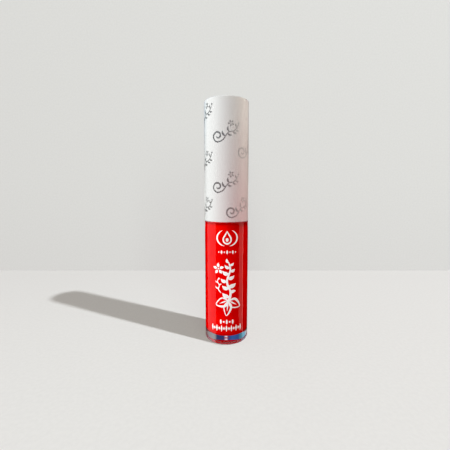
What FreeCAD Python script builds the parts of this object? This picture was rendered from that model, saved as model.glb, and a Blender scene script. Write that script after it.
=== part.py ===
"""A round lip gloss tube: a thick clear bottle of gloss, and a cap that carries the applicator wand.

The origin is the middle of the face that the tube stands on, and +Z runs up the tube's axis.
The slanted face of the doe-foot applicator looks along +X.
"""

import FreeCAD, Part
import Sketcher

import os
import re

# Driving dimensions, in millimetres; counts and turns are plain numbers.
DRIVING = {
    # the whole tube
    "total_height": 97.0,
    "seam_height": 50.0,
    "seam_gap": 0.15,
    "face_gap": 0.03,
    # bottle
    "bottle_radius": 8.95,
    "cavity_radius": 6.6,
    "base_thickness": 2.8,
    "heel_round": 0.8,
    "cavity_floor_round": 2.0,
    "wall_round": 0.3,
    "land_radius": 7.6,
    "land_height": 1.1,
    "land_round": 0.2,
    "cavity_ceiling_drop": 0.05,
    "cavity_shoulder_round": 1.9,
    "neck_root_round": 0.5,
    "recess_radius": 5.6,
    "recess_depth": 0.3,
    "neck_radius": 5.45,
    "neck_bore": 4.0,
    "neck_length": 10.3,
    "neck_round": 0.25,
    "bead_radius": 6.05,
    "bead_height": 0.8,
    "bead_offset": 0.9,
    # screw thread, shared by the neck and the inner cap
    "thread_pitch": 2.1,
    "thread_turns": 1.5,
    "thread_depth": 0.65,
    "thread_root_width": 1.2,
    "thread_crest_width": 0.5,
    "thread_sink": 0.15,
    "thread_offset": 4.0,
    "crest_clearance": 0.07,
    # wiper plug in the neck
    "wiper_length": 9.2,
    "wiper_clearance": 0.03,
    "wiper_flange_radius": 5.1,
    "wiper_flange_thickness": 0.6,
    "wiper_wall": 0.55,
    "wiper_orifice": 2.15,
    "wiper_lip_length": 0.8,
    "wiper_cone_length": 4.2,
    # cap shell
    "cap_radius": 9.0,
    "cap_top_radius": 8.85,
    "cap_wall": 1.1,
    "cap_top_wall": 1.4,
    "cap_edge_round": 0.55,
    "cap_rim_round": 0.2,
    "stop_rib_count": 4,
    "stop_rib_thickness": 0.8,
    "stop_rib_reach": 2.2,
    # threaded inner cap
    "inner_cap_inset": 1.4,
    "inner_cap_fit": 0.04,
    "inner_cap_bore": 6.65,
    "inner_cap_wall": 0.8,
    "inner_cap_ceiling": 1.3,
    "inner_cap_flange": 0.9,
    "grip_rib_count": 24,
    "grip_rib_width": 0.5,
    "socket_length": 6.0,
    "socket_wall": 1.1,
    "gusset_count": 6,
    "gusset_thickness": 0.7,
    "gusset_reach": 2.6,
    "gusset_height": 4.0,
    # seal washer
    "washer_radius": 6.2,
    "washer_thickness": 1.0,
    "washer_clearance": 0.1,
    # wand rod
    "rod_radius": 2.08,
    "rod_bottom": 17.0,
    "rod_end_round": 0.2,
    "collar_radius": 3.6,
    "collar_thickness": 1.0,
    "stub_radius": 2.3,
    "stub_recess": 0.5,
    "shaft_fit": 0.03,
    "spigot_bore": 1.25,
    "spigot_length": 6.0,
    # applicator
    "flock_radius": 2.05,
    "flock_thickness": 0.45,
    "flock_fit": 0.02,
    "tip_bottom": 5.0,
    "tip_round": 0.9,
    "slant_top": 12.6,
    "slant_toe": 0.6,
    # gloss
    "gloss_fit": 0.02,
    "gloss_level": 51.4,
    "wand_room": 0.3,
    "tip_room": 0.8,
}

# Levels up the axis and radii that follow from the driving dimensions.
WALL_TOP = "seam_height - seam_gap"
SHOULDER_TOP = f"{WALL_TOP} + land_height"
CAVITY_CEILING = f"{WALL_TOP} - cavity_ceiling_drop"
NECK_TOP = f"{SHOULDER_TOP} + neck_length"
THREAD_CREST = "neck_radius + thread_depth"
NECK_THREAD_LEVEL = f"{SHOULDER_TOP} + thread_offset"
CAP_THREAD_LEVEL = f"{NECK_THREAD_LEVEL} - thread_pitch / 2"
WIPER_RADIUS = "neck_bore - wiper_clearance"
WIPER_BOTTOM = f"{NECK_TOP} - wiper_length"
WIPER_TOP = f"{NECK_TOP} + wiper_flange_thickness"
WASHER_BOTTOM = f"{WIPER_TOP} + face_gap"
COLLAR_BOTTOM = f"{WASHER_BOTTOM} + washer_thickness + face_gap"
COLLAR_TOP = f"{COLLAR_BOTTOM} + collar_thickness"
INNER_CEILING = f"{COLLAR_TOP} + face_gap"
INNER_CAP_TOP = f"{INNER_CEILING} + inner_cap_ceiling"
SOCKET_TOP = f"{INNER_CAP_TOP} + socket_length"
CAP_BORE = "cap_radius - cap_wall"
CAP_CEILING = "total_height - cap_top_wall"
INNER_CAP_BOTTOM = "seam_height + inner_cap_inset"
INNER_CAP_RADIUS = f"{CAP_BORE} - inner_cap_fit"
SLEEVE_RADIUS = "inner_cap_bore + inner_cap_wall"
SOCKET_BORE = "stub_radius + shaft_fit"
SOCKET_RADIUS = f"{SOCKET_BORE} + socket_wall"
PADDLE_TOP = "rod_bottom - face_gap"
VOID_RADIUS = "rod_radius + wand_room"

AXIS = "0"
FULL_TURN = 360.0
SMALLEST_CUT_MM3 = 0.01
EDGE_MATCH_MM = 1e-4
HORIZONTAL_AXIS = -1
VERTICAL_AXIS = -2
SIDE_START = 1
SIDE_END = 2


def start_sheet(doc):
    """Write every driving dimension in the spreadsheet, under its own name."""
    sheet = doc.addObject("Spreadsheet::Sheet", "Sizes")
    for row, (name, number) in enumerate(DRIVING.items(), start=1):
        sheet.set(f"A{row}", name)
        sheet.set(f"B{row}", str(number))
        sheet.setAlias(f"B{row}", name)
    doc.recompute()


def from_sheet(text):
    """Turn 'neck_radius + thread_depth' into an expression that reads the sheet."""
    return re.sub(r"[a-z]\w*", r"Sizes.\g<0>", text)


def size(obj, text):
    """Work out an expression in driving dimensions."""
    return float(obj.evalExpression(from_sheet(text)))


def start_body(doc, label):
    """Start a PartDesign body, which is one sub-part."""
    body = doc.addObject("PartDesign::Body", label)
    body.Label = label
    body.Placement = FreeCAD.Placement()
    return body


def upright_sketch(body, name, corners):
    """Draw a closed outline of straight sides on the body's XZ plane.

    Each corner is (distance from the axis, height), and both are bound to the sheet.
    """
    sketch = body.newObject("Sketcher::SketchObject", name)
    plane = next(f for f in body.Origin.OriginFeatures if f.Role == "XZ_Plane")
    sketch.AttachmentSupport = [(plane, "")]
    sketch.MapMode = "FlatFace"
    points = [FreeCAD.Vector(size(body, x), size(body, z), 0) for x, z in corners]
    following = points[1:] + points[:1]
    for start, end in zip(points, following):
        sketch.addGeometry(Part.LineSegment(start, end), False)
    for side in range(len(corners)):
        next_side = (side + 1) % len(corners)
        meeting = Sketcher.Constraint("Coincident", side, SIDE_END, next_side, SIDE_START)
        sketch.addConstraint(meeting)
    for side, (x, z) in enumerate(corners):
        place_corner(sketch, side, "DistanceX", VERTICAL_AXIS, x)
        place_corner(sketch, side, "DistanceY", HORIZONTAL_AXIS, z)
    return sketch


def place_corner(sketch, side, kind, axis, text):
    """Hold a side's first point on an axis, or at a distance that the sheet gives."""
    distance = size(sketch, text)
    if abs(distance) < EDGE_MATCH_MM:
        sketch.addConstraint(Sketcher.Constraint("PointOnObject", side, SIDE_START, axis))
        return
    origin = (HORIZONTAL_AXIS, SIDE_START)
    if distance > 0:
        rule = Sketcher.Constraint(kind, *origin, side, SIDE_START, distance)
    else:
        rule = Sketcher.Constraint(kind, side, SIDE_START, *origin, -distance)
        text = f"-({text})"
    index = sketch.addConstraint(rule)
    sketch.setExpression(f"Constraints[{index}]", from_sheet(text))


def turn(body, kind, name, corners):
    """Revolve an outline a full turn about the tube's axis."""
    sketch = upright_sketch(body, f"{name}_outline", corners)
    feature = body.newObject(kind, name)
    feature.Profile = sketch
    feature.ReferenceAxis = (sketch, ["V_Axis"])
    feature.Angle = FULL_TURN
    body.Document.recompute()
    return feature


def revolve(body, name, corners):
    """Add a turned solid."""
    return turn(body, "PartDesign::Revolution", name, corners)


def groove(body, name, corners):
    """Cut a turned solid away, and make sure that it cut something."""
    before = body.Tip.Shape.Volume
    feature = turn(body, "PartDesign::Groove", name, corners)
    check_cut(name, before, feature)
    return feature


def check_cut(name, before, feature):
    """Stop when a cut took nothing away."""
    if before - feature.Shape.Volume < SMALLEST_CUT_MM3:
        raise RuntimeError(f"{name} cut nothing")


def slab(body, kind, name, corners, thickness=None):
    """Pad or pocket an upright outline by the same amount on both sides of the XZ plane."""
    sketch = upright_sketch(body, f"{name}_outline", corners)
    feature = body.newObject(kind, name)
    feature.Profile = sketch
    feature.SideType = "Symmetric"
    if thickness is None:
        feature.Type = "ThroughAll"
    else:
        feature.setExpression("Length", from_sheet(thickness))
    body.Document.recompute()
    return feature


def repeat_about_axis(body, feature, count):
    """Repeat a feature evenly about the tube's axis."""
    pattern = body.newObject("PartDesign::PolarPattern", f"{feature.Name}_ring")
    pattern.Originals = [feature]
    pattern.Axis = (feature.Profile[0], ["V_Axis"])
    pattern.Angle = FULL_TURN
    pattern.setExpression("Occurrences", from_sheet(count))
    body.Tip = pattern
    body.Document.recompute()
    return pattern


def thread(body, name, root, crest, level):
    """Wind a screw thread's ridge about the axis, from its root radius to its crest."""
    half_root = "thread_root_width / 2"
    half_crest = "thread_crest_width / 2"
    corners = [
        (root, f"{level} - {half_root}"),
        (crest, f"{level} - {half_crest}"),
        (crest, f"{level} + {half_crest}"),
        (root, f"{level} + {half_root}"),
    ]
    sketch = upright_sketch(body, f"{name}_outline", corners)
    ridge = body.newObject("PartDesign::AdditiveHelix", name)
    ridge.Profile = sketch
    ridge.ReferenceAxis = (sketch, ["V_Axis"])
    ridge.Mode = "pitch-turns-angle"
    ridge.setExpression("Pitch", from_sheet("thread_pitch"))
    ridge.setExpression("Turns", from_sheet("thread_turns"))
    body.Document.recompute()
    return ridge


def round_edges(body, name, radius, places):
    """Fillet the circular edges at each (distance from the axis, height) in places."""
    base = body.Tip
    names = [circle_at(base.Shape, size(body, x), size(body, z)) for x, z in places]
    fillet = body.newObject("PartDesign::Fillet", name)
    fillet.Base = (base, names)
    fillet.setExpression("Radius", from_sheet(radius))
    body.Document.recompute()
    return fillet


def circle_at(shape, radius, height):
    """Name the circular edge of this radius and height about the axis."""
    for number, edge in enumerate(shape.Edges, start=1):
        if not isinstance(edge.Curve, Part.Circle):
            continue
        centre = edge.Curve.Center
        off = max(abs(centre.x), abs(centre.y), abs(centre.z - height))
        if max(off, abs(edge.Curve.Radius - radius)) < EDGE_MATCH_MM:
            return f"Edge{number}"
    raise RuntimeError(f"no circle of radius {radius} at height {height}")


def make_bottle(doc):
    """Clear bottle: thick base, straight wall, and a shoulder and threaded neck inside the cap."""
    body = start_body(doc, "bottle")
    revolve(body, "bottle_outside", [
        (AXIS, "0"),
        ("bottle_radius", "0"),
        ("bottle_radius", WALL_TOP),
        ("land_radius", WALL_TOP),
        ("land_radius", SHOULDER_TOP),
        ("neck_radius", SHOULDER_TOP),
        ("neck_radius", NECK_TOP),
        (AXIS, NECK_TOP),
    ])
    groove(body, "bottle_cavity", [
        (AXIS, "base_thickness"),
        ("cavity_radius", "base_thickness"),
        ("cavity_radius", CAVITY_CEILING),
        ("neck_bore", CAVITY_CEILING),
        ("neck_bore", NECK_TOP),
        (AXIS, NECK_TOP),
    ])
    groove(body, "base_recess", [
        (AXIS, "0"),
        ("recess_radius", "0"),
        ("recess_radius", "recess_depth"),
        (AXIS, "recess_depth"),
    ])
    round_edges(body, "cavity_floor_rounding", "cavity_floor_round",
                [("cavity_radius", "base_thickness")])
    round_edges(body, "cavity_shoulder_rounding", "cavity_shoulder_round",
                [("cavity_radius", CAVITY_CEILING)])
    round_edges(body, "neck_root_rounding", "neck_root_round", [("neck_bore", CAVITY_CEILING)])
    round_edges(body, "heel_rounding", "heel_round", [("bottle_radius", "0")])
    round_edges(body, "wall_rounding", "wall_round", [("bottle_radius", WALL_TOP)])
    round_edges(body, "land_rounding", "land_round", [("land_radius", SHOULDER_TOP)])
    round_edges(body, "neck_rounding", "neck_round",
                [("neck_radius", NECK_TOP), ("neck_radius", SHOULDER_TOP)])
    bead_bottom = f"{SHOULDER_TOP} + bead_offset"
    bead_flat = f"{bead_bottom} + bead_height - (bead_radius - neck_radius)"
    revolve(body, "neck_bead", [
        ("neck_bore", bead_bottom),
        ("bead_radius", bead_bottom),
        ("bead_radius", bead_flat),
        ("neck_radius", f"{bead_bottom} + bead_height"),
        ("neck_bore", f"{bead_bottom} + bead_height"),
    ])
    thread(body, "neck_thread", "neck_radius - thread_sink", THREAD_CREST, NECK_THREAD_LEVEL)
    return body


def make_gloss(doc):
    """The gloss that fills the bottle, with room for the wand down its middle."""
    body = start_body(doc, "gloss")
    floor = "base_thickness + gloss_fit"
    outside = "cavity_radius - gloss_fit"
    ceiling = f"{CAVITY_CEILING} - gloss_fit"
    in_neck = "neck_bore - gloss_fit"
    void_floor = "tip_bottom - tip_room"
    revolve(body, "gloss_fill", [
        (AXIS, floor),
        (outside, floor),
        (outside, ceiling),
        (in_neck, ceiling),
        (in_neck, "gloss_level"),
        (VOID_RADIUS, "gloss_level"),
        (VOID_RADIUS, void_floor),
        (AXIS, void_floor),
    ])
    round_edges(body, "gloss_floor_rounding", "cavity_floor_round", [(outside, floor)])
    round_edges(body, "gloss_shoulder_rounding", "cavity_shoulder_round", [(outside, ceiling)])
    return body


def make_wiper(doc):
    """Soft plug in the neck, whose lower lip wipes the rod."""
    body = start_body(doc, "wiper")
    mouth = f"{WIPER_RADIUS} - wiper_wall"
    lip_radius = "wiper_orifice + wiper_wall"
    lip_top = f"{WIPER_BOTTOM} + wiper_lip_length"
    cone_top = f"{lip_top} + wiper_cone_length"
    revolve(body, "wiper_wall_solid", [
        ("wiper_orifice", WIPER_BOTTOM),
        (lip_radius, WIPER_BOTTOM),
        (lip_radius, lip_top),
        (WIPER_RADIUS, cone_top),
        (WIPER_RADIUS, NECK_TOP),
        ("wiper_flange_radius", NECK_TOP),
        ("wiper_flange_radius", WIPER_TOP),
        (mouth, WIPER_TOP),
        (mouth, cone_top),
        ("wiper_orifice", lip_top),
    ])
    return body


def make_outer_cap(doc):
    """Cap shell, slightly drafted, with stop ribs above the inner cap."""
    body = start_body(doc, "outer_cap")
    revolve(body, "cap_shell", [
        (CAP_BORE, "seam_height"),
        ("cap_radius", "seam_height"),
        ("cap_top_radius", "total_height"),
        (AXIS, "total_height"),
        (AXIS, CAP_CEILING),
        (CAP_BORE, CAP_CEILING),
    ])
    round_edges(body, "cap_edge_rounding", "cap_edge_round",
                [("cap_top_radius", "total_height")])
    round_edges(body, "cap_rim_rounding", "cap_rim_round", [("cap_radius", "seam_height")])
    sink = "stop_rib_thickness / 2"
    rib_bottom = f"{INNER_CAP_TOP} + face_gap"
    rib = slab(body, "PartDesign::Pad", "stop_rib", [
        (f"{CAP_BORE} - stop_rib_reach", rib_bottom),
        (f"{CAP_BORE} + {sink}", rib_bottom),
        (f"{CAP_BORE} + {sink}", f"{CAP_CEILING} + {sink}"),
        (f"{CAP_BORE} - stop_rib_reach", f"{CAP_CEILING} + {sink}"),
    ], "stop_rib_thickness")
    repeat_about_axis(body, rib, "stop_rib_count")
    return body


def make_inner_cap(doc):
    """Threaded liner that is pressed into the cap shell and holds the rod in its socket."""
    body = start_body(doc, "inner_cap")
    flange_top = f"{INNER_CAP_BOTTOM} + inner_cap_flange"
    revolve(body, "inner_cap_shell", [
        ("inner_cap_bore", INNER_CAP_BOTTOM),
        (INNER_CAP_RADIUS, INNER_CAP_BOTTOM),
        (INNER_CAP_RADIUS, flange_top),
        (SLEEVE_RADIUS, flange_top),
        (SLEEVE_RADIUS, INNER_CAP_TOP),
        (SOCKET_RADIUS, INNER_CAP_TOP),
        (SOCKET_RADIUS, SOCKET_TOP),
        (SOCKET_BORE, SOCKET_TOP),
        (SOCKET_BORE, INNER_CEILING),
        ("inner_cap_bore", INNER_CEILING),
    ])
    sink = "grip_rib_width / 2"
    grip = slab(body, "PartDesign::Pad", "grip_rib", [
        (f"{SLEEVE_RADIUS} - {sink}", f"{flange_top} - {sink}"),
        (INNER_CAP_RADIUS, f"{flange_top} - {sink}"),
        (INNER_CAP_RADIUS, f"{INNER_CAP_TOP} - inner_cap_flange"),
        (f"{SLEEVE_RADIUS} - {sink}", f"{INNER_CAP_TOP} - inner_cap_flange"),
    ], "grip_rib_width")
    repeat_about_axis(body, grip, "grip_rib_count")
    sunk = "gusset_thickness / 2"
    gusset = slab(body, "PartDesign::Pad", "gusset", [
        (f"{SOCKET_RADIUS} - {sunk}", f"{INNER_CAP_TOP} - {sunk}"),
        (f"{SOCKET_RADIUS} + gusset_reach", f"{INNER_CAP_TOP} - {sunk}"),
        (f"{SOCKET_RADIUS} - {sunk}", f"{INNER_CAP_TOP} + gusset_height"),
    ], "gusset_thickness")
    repeat_about_axis(body, gusset, "gusset_count")
    thread(body, "cap_thread", "inner_cap_bore + thread_sink",
           f"{THREAD_CREST} + crest_clearance", CAP_THREAD_LEVEL)
    return body


def make_seal_washer(doc):
    """Flat foam washer that closes the mouth of the bottle."""
    body = start_body(doc, "seal_washer")
    washer_top = f"{WASHER_BOTTOM} + washer_thickness"
    hole = "rod_radius + washer_clearance"
    revolve(body, "washer_ring", [
        (hole, WASHER_BOTTOM),
        ("washer_radius", WASHER_BOTTOM),
        ("washer_radius", washer_top),
        (hole, washer_top),
    ])
    return body


def make_wand_rod(doc):
    """Rod with a collar under the inner cap's ceiling and a stub in its socket."""
    body = start_body(doc, "wand_rod")
    bore_top = "rod_bottom + spigot_length"
    stub_top = f"{SOCKET_TOP} - stub_recess"
    revolve(body, "rod_solid", [
        ("spigot_bore", "rod_bottom"),
        ("rod_radius", "rod_bottom"),
        ("rod_radius", COLLAR_BOTTOM),
        ("collar_radius", COLLAR_BOTTOM),
        ("collar_radius", COLLAR_TOP),
        ("stub_radius", COLLAR_TOP),
        ("stub_radius", stub_top),
        (AXIS, stub_top),
        (AXIS, bore_top),
        ("spigot_bore", bore_top),
    ])
    round_edges(body, "rod_end_rounding", "rod_end_round",
                [("rod_radius", "rod_bottom"), ("stub_radius", stub_top)])
    return body


def add_paddle(body, name, radius, inset):
    """Add the doe-foot paddle, drawn in from the flock's surface by the inset."""
    bottom = f"tip_bottom + ({inset})"
    revolve(body, f"{name}_stem", [
        (AXIS, bottom),
        (radius, bottom),
        (radius, PADDLE_TOP),
        (AXIS, PADDLE_TOP),
    ])
    round_edges(body, f"{name}_rounding", f"tip_round - ({inset})", [(radius, bottom)])
    before = body.Tip.Shape.Volume
    toe = f"-slant_toe - ({inset})"
    slant = slab(body, "PartDesign::Pocket", f"{name}_slant", [
        (toe, "tip_bottom"),
        (toe, "tip_bottom - tip_room"),
        ("2 * flock_radius", "tip_bottom - tip_room"),
        ("2 * flock_radius", "slant_top"),
        (f"flock_radius - ({inset})", "slant_top"),
    ])
    check_cut(f"{name} slant", before, slant)


def make_applicator_core(doc):
    """Bendable core of the doe-foot tip, whose spigot plugs into the rod."""
    body = start_body(doc, "applicator_core")
    add_paddle(body, "core", "flock_radius - flock_thickness", "flock_thickness")
    revolve(body, "core_spigot", [
        (AXIS, "rod_bottom - spigot_length / 2"),
        ("spigot_bore - shaft_fit", "rod_bottom - spigot_length / 2"),
        ("spigot_bore - shaft_fit", "rod_bottom + spigot_length - 10 * face_gap"),
        (AXIS, "rod_bottom + spigot_length - 10 * face_gap"),
    ])
    return body


def make_applicator_flock(doc):
    """Velvety flocked sleeve over the core."""
    sleeve = start_body(doc, "flock_outside")
    add_paddle(sleeve, "flock", "flock_radius", "0")
    hollow = start_body(doc, "flock_hollow")
    add_paddle(hollow, "hollow", "flock_radius - flock_thickness + flock_fit",
               "flock_thickness - flock_fit")
    flock = doc.addObject("Part::Cut", "applicator_flock")
    flock.Label = "applicator_flock"
    flock.Base = sleeve
    flock.Tool = hollow
    flock.Placement = FreeCAD.Placement()
    doc.recompute()
    return flock


def check_document(doc):
    """Stop when any object of the document failed to build."""
    for obj in doc.Objects:
        if {"Invalid", "Error"} & set(obj.State):
            raise RuntimeError(f"{obj.Name} failed: {obj.State}")


def export(part):
    """Check one sub-part's shape and write it under its own label."""
    shape = part.Shape
    if shape.isNull() or not shape.isValid():
        raise RuntimeError(f"{part.Label} has no valid shape")
    shape.exportStep(f"parts/{part.Label}.step")
    print(part.Label, "solids", len(shape.Solids), "volume", round(shape.Volume, 2))


def main():
    os.makedirs("parts", exist_ok=True)
    doc = FreeCAD.newDocument("lip_gloss_tube")
    start_sheet(doc)
    parts = [
        make_bottle(doc),
        make_gloss(doc),
        make_wiper(doc),
        make_outer_cap(doc),
        make_inner_cap(doc),
        make_seal_washer(doc),
        make_wand_rod(doc),
        make_applicator_core(doc),
        make_applicator_flock(doc),
    ]
    doc.recompute()
    check_document(doc)
    for part in parts:
        export(part)


main()
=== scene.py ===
"""Looks for a lip gloss tube: a clear bottle of red gloss under a pearl white cap with a wand."""

import math
import random

import bpy
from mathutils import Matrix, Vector, noise


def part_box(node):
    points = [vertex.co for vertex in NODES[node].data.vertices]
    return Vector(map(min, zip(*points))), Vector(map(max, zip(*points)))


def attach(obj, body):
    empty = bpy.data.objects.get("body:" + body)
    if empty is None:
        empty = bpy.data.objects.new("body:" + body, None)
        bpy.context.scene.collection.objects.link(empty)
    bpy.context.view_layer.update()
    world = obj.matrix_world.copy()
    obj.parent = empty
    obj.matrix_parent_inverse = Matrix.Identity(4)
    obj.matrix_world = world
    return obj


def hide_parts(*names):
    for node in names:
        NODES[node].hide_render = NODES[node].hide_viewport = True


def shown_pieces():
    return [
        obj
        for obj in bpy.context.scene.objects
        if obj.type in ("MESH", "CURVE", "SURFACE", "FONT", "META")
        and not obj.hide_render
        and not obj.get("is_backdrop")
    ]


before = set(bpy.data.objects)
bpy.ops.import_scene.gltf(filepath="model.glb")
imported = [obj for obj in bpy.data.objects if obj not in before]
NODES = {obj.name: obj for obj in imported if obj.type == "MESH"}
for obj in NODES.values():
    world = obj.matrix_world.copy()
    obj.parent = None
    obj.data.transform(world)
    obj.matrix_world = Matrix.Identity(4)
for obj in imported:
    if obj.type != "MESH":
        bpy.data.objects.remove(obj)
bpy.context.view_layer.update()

MM = 0.001
TURN = 2 * math.pi
ROUND_STEPS = 256       # sides of a turned piece
HAIR = 1e-3             # mm: closer than this is the same place
TINY = 1e-6             # mm: less than this is nothing


# ---------------------------------------------------------------- places, from the frame, in mm

def outer_radius(part, low, high):
    """How far a CAD node reaches from the axis between two heights."""
    reach = [math.hypot(v.co.x, v.co.y) / MM for v in NODES[part].data.vertices
             if low - HAIR <= v.co.z / MM <= high + HAIR]
    return max(reach)


def low_high(part):
    """The lowest and highest level of a CAD node."""
    low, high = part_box(part)
    return low.z / MM, high.z / MM


NECK_TOP = low_high("bottle")[1]
SEAM, TOTAL = low_high("outer_cap")
GLOSS_FLOOR, GLOSS_LEVEL = low_high("gloss")
ROD_BOTTOM = low_high("wand_rod")[0]
TIP_BOTTOM, TIP_TOP = low_high("applicator_flock")
BOTTLE_RADIUS = outer_radius("bottle", 0, SEAM)
NECK_RADIUS = outer_radius("bottle", NECK_TOP - 0.5, NECK_TOP)
CAP_RADIUS = outer_radius("outer_cap", SEAM, SEAM + 1)
CAP_TOP_RADIUS = outer_radius("outer_cap", TOTAL - 1, TOTAL)
GLOSS_RADIUS = outer_radius("gloss", GLOSS_FLOOR, SEAM)
ROD_RADIUS = outer_radius("wand_rod", ROD_BOTTOM, SEAM)
FLOCK_RADIUS = outer_radius("applicator_flock", TIP_BOTTOM, TIP_TOP)


# ---------------------------------------------------------------- meshes, drawn in mm

def make_piece(name, vertices, faces, material, body, sharp=35):
    """A mesh object that rides on a CAD body, with edges over an angle in degrees kept sharp."""
    mesh = bpy.data.meshes.new(name)
    mesh.from_pydata([(x * MM, y * MM, z * MM) for x, y, z in vertices], [], faces)
    mesh.validate()
    mesh.shade_smooth()
    mesh.set_sharp_from_angle(angle=math.radians(sharp))
    piece = bpy.data.objects.new(name, mesh)
    bpy.context.scene.collection.objects.link(piece)
    mesh.materials.append(material)
    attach(piece, body)
    return piece


def lathe(profile, steps=ROUND_STEPS, bulge=None):
    """Vertices and faces of a profile of (radius, level) points turned about the axis.

    The profile runs with the solid on its left: out along the bottom and up the outside. Where it
    starts and ends on the axis it is open; otherwise its last point joins its first. A bulge
    takes (angle, level, radius) and gives the radius to use.
    """
    vertices, rings = [], []
    for radius, level in profile:
        start = len(vertices)
        if radius < TINY:
            rings.append([start] * steps)
            vertices.append((0.0, 0.0, level))
            continue
        for i in range(steps):
            a = TURN * i / steps
            r = bulge(a, level, radius) if bulge else radius
            vertices.append((r * math.sin(a), -r * math.cos(a), level))
        rings.append(list(range(start, start + steps)))
    following = rings[1:] if profile[0][0] < TINY else rings[1:] + rings[:1]
    faces = []
    for low, high in zip(rings, following):
        for i in range(steps):
            j = (i + 1) % steps
            face = list(dict.fromkeys([low[i], low[j], high[j], high[i]]))
            if len(face) > 2:
                faces.append(face)
    return vertices, faces


def corner(centre, radius, start, end, steps):
    """Points round a corner in (radius, level), from one angle in degrees to another."""
    points = []
    for i in range(steps + 1):
        a = math.radians(start + (end - start) * i / steps)
        points.append((centre[0] + radius * math.cos(a), centre[1] + radius * math.sin(a)))
    return points


def rows(radius, low, high, step):
    """Points up or down a straight wall, evenly spaced."""
    count = max(1, round(abs(high - low) / step))
    return [(radius, low + (high - low) * i / count) for i in range(count + 1)]


def smooth(t):
    """A number eased from 0 to 1, and held at both ends."""
    t = min(1.0, max(0.0, t))
    return t * t * (3 - 2 * t)


# ---------------------------------------------------------------- materials

MIX_FACTOR, MIX_A, MIX_B, MIX_RESULT = 0, 6, 7, 2       # sockets of a Mix node that mixes colours


def new_material(name, colour, roughness, **values):
    """A material, its node tree and its Principled shader, with values set on the shader."""
    material = bpy.data.materials.new(name)
    material.use_nodes = True
    shader = material.node_tree.nodes["Principled BSDF"]
    shader.inputs["Base Color"].default_value = (*colour, 1)
    shader.inputs["Roughness"].default_value = roughness
    for key, number in values.items():
        shader.inputs[key.replace("_", " ")].default_value = number
    return material, material.node_tree, shader


def node(tree, kind, **values):
    """A new shader node, with values set on its inputs or else on its own settings."""
    made = tree.nodes.new("ShaderNode" + kind)
    for key, number in values.items():
        if key in made.inputs:
            made.inputs[key].default_value = number
        else:
            setattr(made, key, number)
    return made


def place(tree):
    """The point on the object, in metres."""
    return node(tree, "TexCoord").outputs["Object"]


def grain(tree, size, detail=2.0, stretch=(1, 1, 1)):
    """Noise whose lumps are about this size in mm."""
    mapping = node(tree, "Mapping")
    mapping.inputs["Scale"].default_value = stretch
    tree.links.new(place(tree), mapping.inputs["Vector"])
    made = node(tree, "TexNoise", Scale=1 / (size * MM), Detail=detail)
    tree.links.new(mapping.outputs[0], made.inputs["Vector"])
    return made.outputs["Fac"]


def cells(tree, size):
    """Voronoi cells of about this size in mm."""
    made = node(tree, "TexVoronoi", Scale=1 / (size * MM))
    tree.links.new(place(tree), made.inputs["Vector"])
    return made


def between(tree, source, low, high, kind="LINEAR"):
    """0 to 1 as a source goes from low to high."""
    made = node(tree, "MapRange", interpolation_type=kind)
    made.inputs["From Min"].default_value = low
    made.inputs["From Max"].default_value = high
    tree.links.new(source, made.inputs["Value"])
    return made.outputs["Result"]


def tinted(tree, colour, tint, amount=1.0):
    """A colour multiplied by a tint. Either may be a socket."""
    made = node(tree, "Mix", data_type="RGBA", blend_type="MULTIPLY")
    for index, value in ((MIX_FACTOR, amount), (MIX_A, colour), (MIX_B, tint)):
        if isinstance(value, bpy.types.NodeSocket):
            tree.links.new(value, made.inputs[index])
        else:
            made.inputs[index].default_value = value
    return made.outputs[MIX_RESULT]


def ramp(tree, source, stops):
    """Colours at places along a source that runs from 0 to 1."""
    made = node(tree, "ValToRGB")
    elements = made.color_ramp.elements
    for _ in stops[2:]:
        elements.new(0.5)
    for element, (position, colour) in zip(elements, stops):
        element.position = position
        element.color = (*colour, 1)
    tree.links.new(source, made.inputs["Fac"])
    return made.outputs["Color"]


def spread(tree, source, low, high):
    """A source between 0 and 1, mapped to a range."""
    made = node(tree, "MapRange")
    made.inputs["To Min"].default_value = low
    made.inputs["To Max"].default_value = high
    tree.links.new(source, made.inputs["Value"])
    return made.outputs["Result"]


def raise_surface(tree, shader, source, height):
    """Bump from a source, its height in mm."""
    bump = node(tree, "Bump", Strength=1.0, Distance=height * MM)
    tree.links.new(source, bump.inputs["Height"])
    tree.links.new(bump.outputs[0], shader.inputs["Normal"])


def choose(tree, question, if_not, if_so):
    """One shader where a socket says 0, and another where it says 1."""
    mix = node(tree, "MixShader")
    tree.links.new(question, mix.inputs[0])
    tree.links.new(if_not.outputs[0], mix.inputs[1])
    tree.links.new(if_so.outputs[0], mix.inputs[2])
    return mix


def clear_material():
    """Clear plastic. Soft light passes straight through it to the gloss, but its shadow is whole."""
    material, tree, shader = new_material(
        "clear_petg", (0.97, 0.985, 1.0), 0.015, IOR=1.57, Transmission_Weight=1.0)
    raise_surface(tree, shader, grain(tree, 6, 1, (1, 1, 0.35)), 0.004)
    path = node(tree, "LightPath")
    open_way = node(tree, "BsdfTransparent")
    lit = choose(tree, path.outputs["Is Diffuse Ray"], shader, open_way)
    shadowed = choose(tree, path.outputs["Is Shadow Ray"], lit, open_way)
    tree.links.new(shadowed.outputs[0], tree.nodes["Material Output"].inputs["Surface"])
    material.use_transparent_shadow = False
    return material


RED = (0.97, 0.0, 0.0)
DEEP_RED = (0.87, 0.0, 0.0)


def gloss_material():
    """Red gloss with faint clouds; the bottle round it gives all its shine."""
    material, tree, shader = new_material("red_gloss", RED, 0.35, Specular_IOR_Level=0.0)
    cloud = ramp(tree, grain(tree, 5, 3), [(0.3, DEEP_RED), (0.55, RED), (0.8, (1.0, 0.004, 0.0))])
    tree.links.new(cloud, shader.inputs["Base Color"])
    return material


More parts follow.
